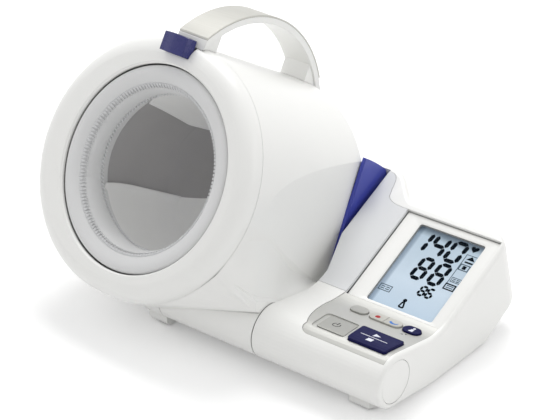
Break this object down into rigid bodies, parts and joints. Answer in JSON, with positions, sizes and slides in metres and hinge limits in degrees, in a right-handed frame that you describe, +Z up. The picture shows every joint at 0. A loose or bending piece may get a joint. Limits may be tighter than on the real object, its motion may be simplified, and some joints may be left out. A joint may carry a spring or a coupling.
{
  "type": "blood pressure monitor",
  "caption": "Desktop arm-in blood pressure monitor: tilting cuff drum with carry handle beside a sloped base with LCD and keys.",
  "frame": {"origin": "on the table plane, under the centre of the object's overall box", "axes": "+X to the display side (the reader's right), +Y away from the user, +Z up"},
  "size_m": [0.3034, 0.2071, 0.2021],
  "materials": {
    "white_shell": "smooth satin-gloss moulding",
    "cover_grey": "fine satin",
    "panel_grey": "satin metallic paint",
    "key_grey": "satin metallic paint",
    "key_white": "gloss",
    "key_blue": "gloss",
    "navy": "gloss",
    "sector_blue": "satin",
    "cuff_cloth": "brushed knit",
    "window": "clear gloss",
    "display": "satin",
    "light_plate": "diffusing",
    "handle_silver": "fine satin",
    "rubber": "matt",
    "tubing": "matt",
    "steel": "ground",
    "spring_steel": "nickel plate",
    "bushing": "sintered",
    "pcb": "solder mask",
    "black_plastic": "matt",
    "frame_plastic": "matt",
    "bladder": "matt",
    "cell_jacket": "gloss sleeve",
    "motor_can": "plated"
  },
  "bodies": {
    "base": {"lower_tray": "white_shell", "upper_housing": "white_shell", "top_cover": "cover_grey", "left_bearing_block": "white_shell", "right_end_cap": "white_shell", "rubber_feet": "rubber", "hinge_shaft": "steel", "display_bezel": "white_shell", "lcd_window": "window", "lcd_cell": "display", "backlight_plate": "light_plate", "circuit_board": "pcb", "pressure_sensor": "black_plastic", "control_panel": "panel_grey", "key_mat": "rubber", "key_board": "pcb", "air_pump": "motor_can", "release_valve": "black_plastic", "air_tube": "tubing", "battery_cells": "cell_jacket", "battery_contacts": "spring_steel", "dc_inlet": "black_plastic", "tray_screws": "steel"},
    "cuff_drum": {"drum_shell": "white_shell", "front_ring": "white_shell", "cuff_frame": "frame_plastic", "rear_ring": "white_shell", "air_bladder": "bladder", "cuff_ring_pad": "cuff_cloth", "cuff_sleeve": "cuff_cloth", "sector_plate": "sector_blue", "hinge_bushes": "bushing", "handle_frame": "white_shell", "handle_strip": "handle_silver", "drum_screws": "steel"},
    "release": {"release_button": "navy", "latch_slide": "black_plastic"},
    "battery_door": {"battery_cover": "white_shell"},
    "power_key": {"power_button": "key_grey"},
    "start_key": {"start_button": "navy"},
    "memory_key": {"memory_button": "key_grey"},
    "morning_key": {"morning_button": "key_white"},
    "evening_key": {"evening_button": "key_blue"},
    "user_key": {"user_button": "navy"}
  },
  "joints": [
    {"name": "cuff_tilt", "type": "hinge", "parent": "base", "child": "cuff_drum", "pos_m": [0.05171, -0.05458, 0.0253], "axis": [1, 0, 0], "range_deg": [-9, 16]},
    {"name": "release_slide", "type": "slide", "parent": "cuff_drum", "child": "release", "axis": [0.0621, 0.8664, -0.4955], "range_m": [0, 0.0022], "stiffness_N_per_m": 500, "springref_m": -0.001},
    {"name": "battery_door_slide", "type": "slide", "parent": "base", "child": "battery_door", "axis": [0, 1, 0], "range_m": [0, 0.015]},
    {"name": "power_press", "type": "slide", "parent": "base", "child": "power_key", "axis": [0, 0, -1], "range_m": [0, 0.0008], "stiffness_N_per_m": 600, "springref_m": -0.0005},
    {"name": "start_press", "type": "slide", "parent": "base", "child": "start_key", "axis": [0, 0, -1], "range_m": [0, 0.0008], "stiffness_N_per_m": 600, "springref_m": -0.0005},
    {"name": "memory_press", "type": "slide", "parent": "base", "child": "memory_key", "axis": [0, 0, -1], "range_m": [0, 0.0008], "stiffness_N_per_m": 600, "springref_m": -0.0005},
    {"name": "morning_press", "type": "slide", "parent": "base", "child": "morning_key", "axis": [0, 0, -1], "range_m": [0, 0.0008], "stiffness_N_per_m": 600, "springref_m": -0.0005},
    {"name": "evening_press", "type": "slide", "parent": "base", "child": "evening_key", "axis": [0, 0, -1], "range_m": [0, 0.0008], "stiffness_N_per_m": 600, "springref_m": -0.0005},
    {"name": "user_press", "type": "slide", "parent": "base", "child": "user_key", "axis": [0, 0, -1], "range_m": [0, 0.0008], "stiffness_N_per_m": 600, "springref_m": -0.0005}
  ]
}
